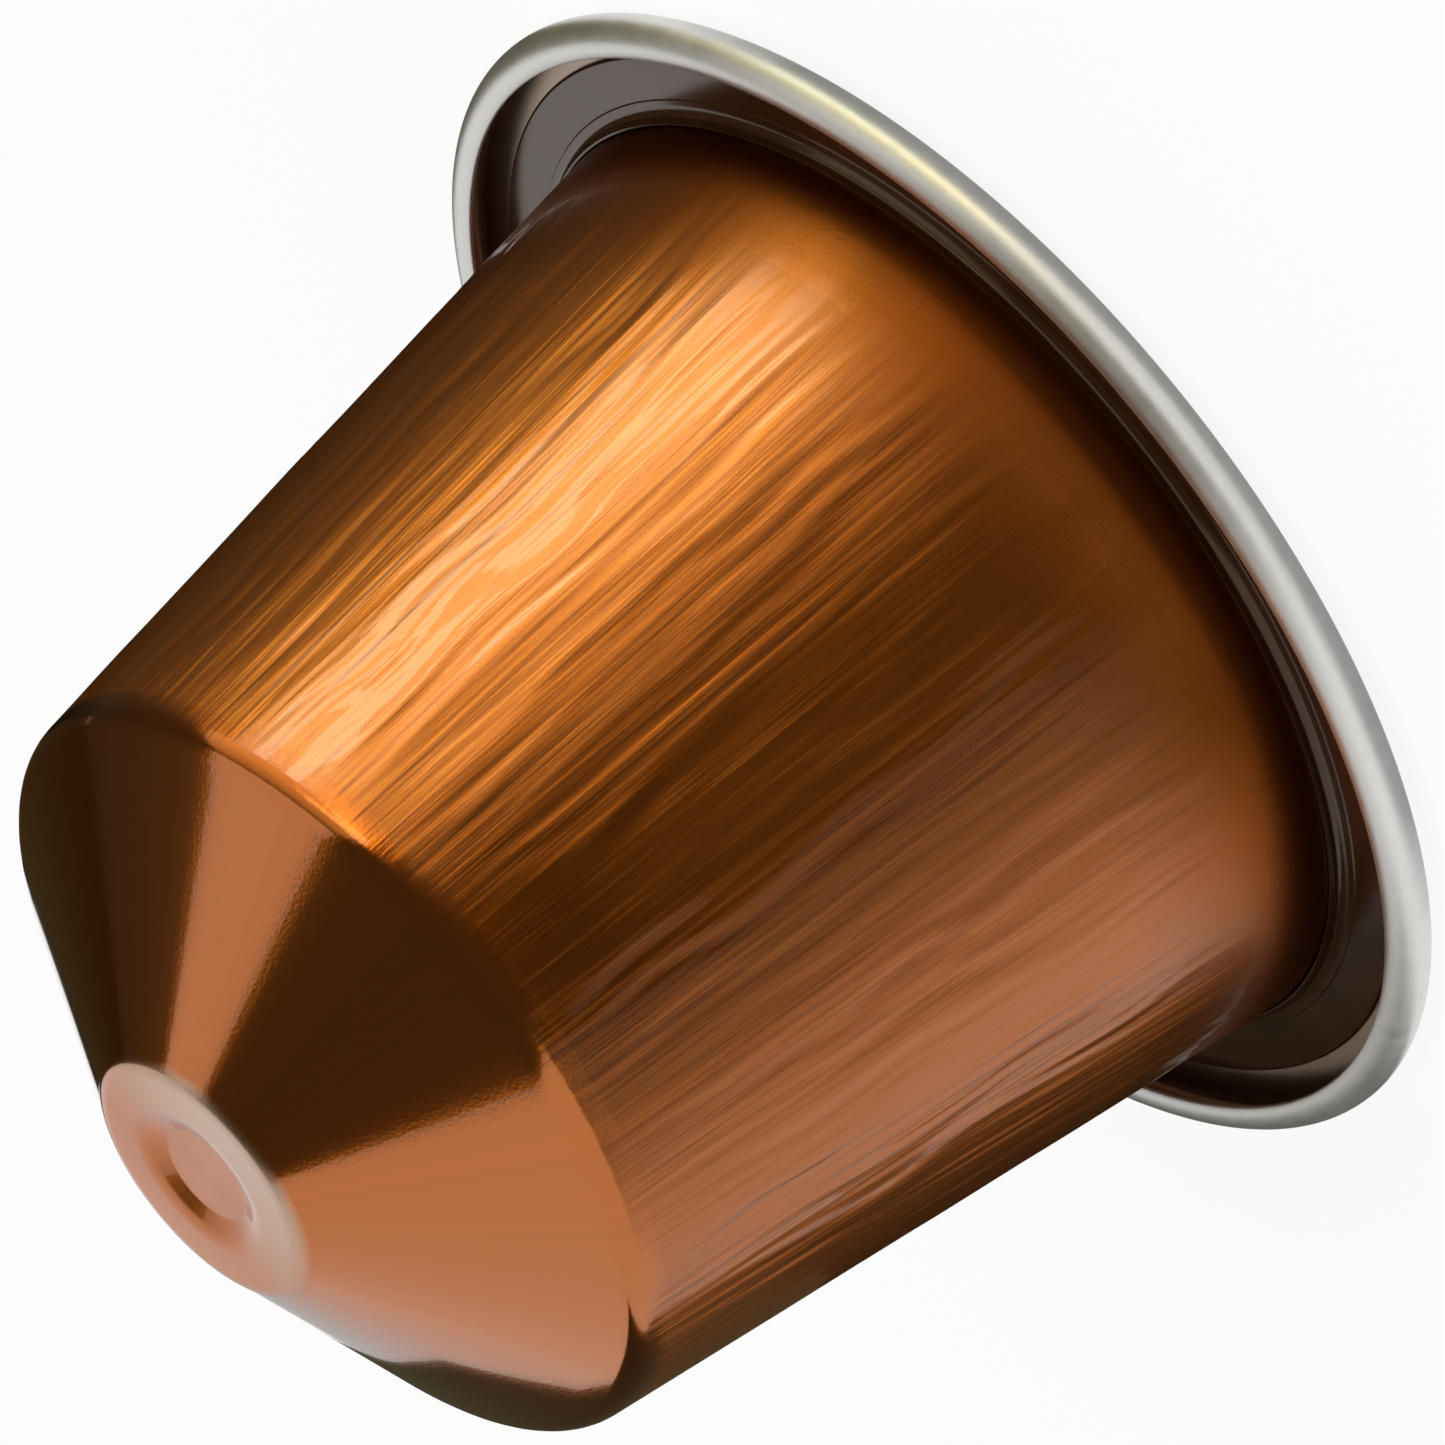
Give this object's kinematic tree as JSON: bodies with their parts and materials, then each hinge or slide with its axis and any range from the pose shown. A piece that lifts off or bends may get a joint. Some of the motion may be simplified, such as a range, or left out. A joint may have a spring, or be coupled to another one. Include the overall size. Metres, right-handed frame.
{
  "type": "coffee pod",
  "caption": "Sealed aluminium coffee pod: tapered cup with conical nose and recessed tip, flange with a rolled rim and sealing ring, and a foil lid.",
  "frame": {"origin": "centre of the underside of the foil lid, where the pod's axis meets the surface it stands on", "axes": "+Z along the pod's axis towards its nose; X and Y lie in the plane of the lid and are alike, the pod is round"},
  "size_m": [0.037, 0.037, 0.029],
  "materials": {
    "lacquered_aluminium": "copper orange lacquer over drawn aluminium, glossy, fine draw lines along the wall",
    "sealing_compound": "glossy dark brown flowed compound",
    "bare_aluminium": "satin uncoated sheet and foil"
  },
  "bodies": {
    "root": {"cup": "lacquered_aluminium", "seal_ring": "sealing_compound", "foil_lid": "bare_aluminium"}
  },
  "joints": []
}
